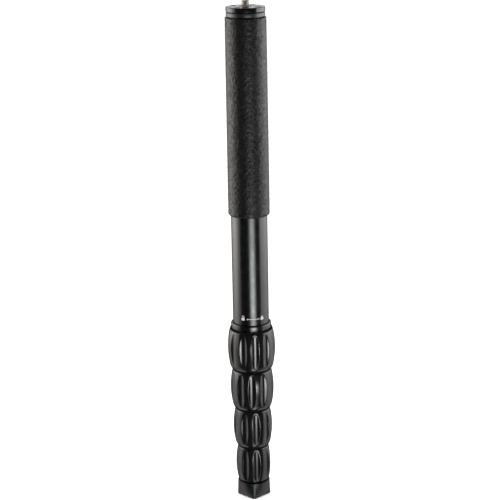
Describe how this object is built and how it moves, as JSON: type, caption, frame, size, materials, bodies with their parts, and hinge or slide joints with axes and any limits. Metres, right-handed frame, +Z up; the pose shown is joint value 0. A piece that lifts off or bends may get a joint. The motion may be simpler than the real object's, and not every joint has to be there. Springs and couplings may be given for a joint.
{
  "type": "camera monopod",
  "caption": "Folded telescoping camera monopod with fluted twist locks, a leather-grained grip, a threaded camera stud on a round platform and a square rubber foot.",
  "frame": {"origin": "middle of the rubber foot's sole, on the floor", "axes": "+Z up along the tubes towards the camera stud, -Y towards the viewer, where one corner of the foot points"},
  "size_m": [0.0384, 0.0384, 0.408],
  "materials": {
    "stud_steel": "turned steel, lightly worn thread",
    "black_anodised": "glossy black anodised, fine turning lines",
    "screw_black": "black oxide",
    "grip_leather": "moulded sleeve with a fine leather grain",
    "tube_black": "semi-gloss black anodised",
    "collar_black": "satin black anodised",
    "lock_black": "glossy black with rounded flutes",
    "collet_plastic": "moulded acetal",
    "shim_plastic": "moulded nylon",
    "seal_rubber": "moulded rubber lip",
    "raw_aluminium": "turned",
    "zinc_steel": "zinc plated",
    "foot_rubber": "matte moulded rubber"
  },
  "bodies": {
    "section_1": {"camera_stud": "stud_steel", "top_platform": "black_anodised", "platform_screws": "screw_black", "top_plug": "black_anodised", "grip_sleeve": "grip_leather", "tube_1": "tube_black", "collar_1": "collar_black", "collet_1": "collet_plastic"},
    "section_2": {"tube_2": "tube_black", "guide_shims_2": "shim_plastic", "collar_2": "collar_black", "collet_2": "collet_plastic"},
    "section_3": {"tube_3": "tube_black", "guide_shims_3": "shim_plastic", "collar_3": "collar_black", "collet_3": "collet_plastic"},
    "section_4": {"tube_4": "tube_black", "guide_shims_4": "shim_plastic", "collar_4": "collar_black", "collet_4": "collet_plastic"},
    "section_5": {"tube_5": "tube_black", "guide_shims_5": "shim_plastic", "foot_plug": "raw_aluminium", "foot_stud": "zinc_steel", "foot": "foot_rubber"},
    "lock_1": {"lock_nut_1": "lock_black", "dust_seal_1": "seal_rubber"},
    "lock_2": {"lock_nut_2": "lock_black", "dust_seal_2": "seal_rubber"},
    "lock_3": {"lock_nut_3": "lock_black", "dust_seal_3": "seal_rubber"},
    "lock_4": {"lock_nut_4": "lock_black", "dust_seal_4": "seal_rubber"}
  },
  "joints": [
    {"name": "lock_1_turn", "type": "hinge", "parent": "section_1", "child": "lock_1", "pos_m": [0, 0, 0.12855], "axis": [0, 0, -1], "range_deg": [0, 180]},
    {"name": "lock_2_turn", "type": "hinge", "parent": "section_2", "child": "lock_2", "pos_m": [0, 0, 0.0946], "axis": [0, 0, -1], "range_deg": [0, 180]},
    {"name": "lock_3_turn", "type": "hinge", "parent": "section_3", "child": "lock_3", "pos_m": [0, 0, 0.0614], "axis": [0, 0, -1], "range_deg": [0, 180]},
    {"name": "lock_4_turn", "type": "hinge", "parent": "section_4", "child": "lock_4", "pos_m": [0, 0, 0.02865], "axis": [0, 0, -1], "range_deg": [0, 180]},
    {"name": "section_2_slide", "type": "slide", "parent": "section_1", "child": "section_2", "axis": [0, 0, -1], "range_m": [0, 0.2365]},
    {"name": "section_3_slide", "type": "slide", "parent": "section_2", "child": "section_3", "axis": [0, 0, -1], "range_m": [0, 0.2691]},
    {"name": "section_4_slide", "type": "slide", "parent": "section_3", "child": "section_4", "axis": [0, 0, -1], "range_m": [0, 0.3009]},
    {"name": "section_5_slide", "type": "slide", "parent": "section_4", "child": "section_5", "axis": [0, 0, -1], "range_m": [0, 0.3326]}
  ]
}
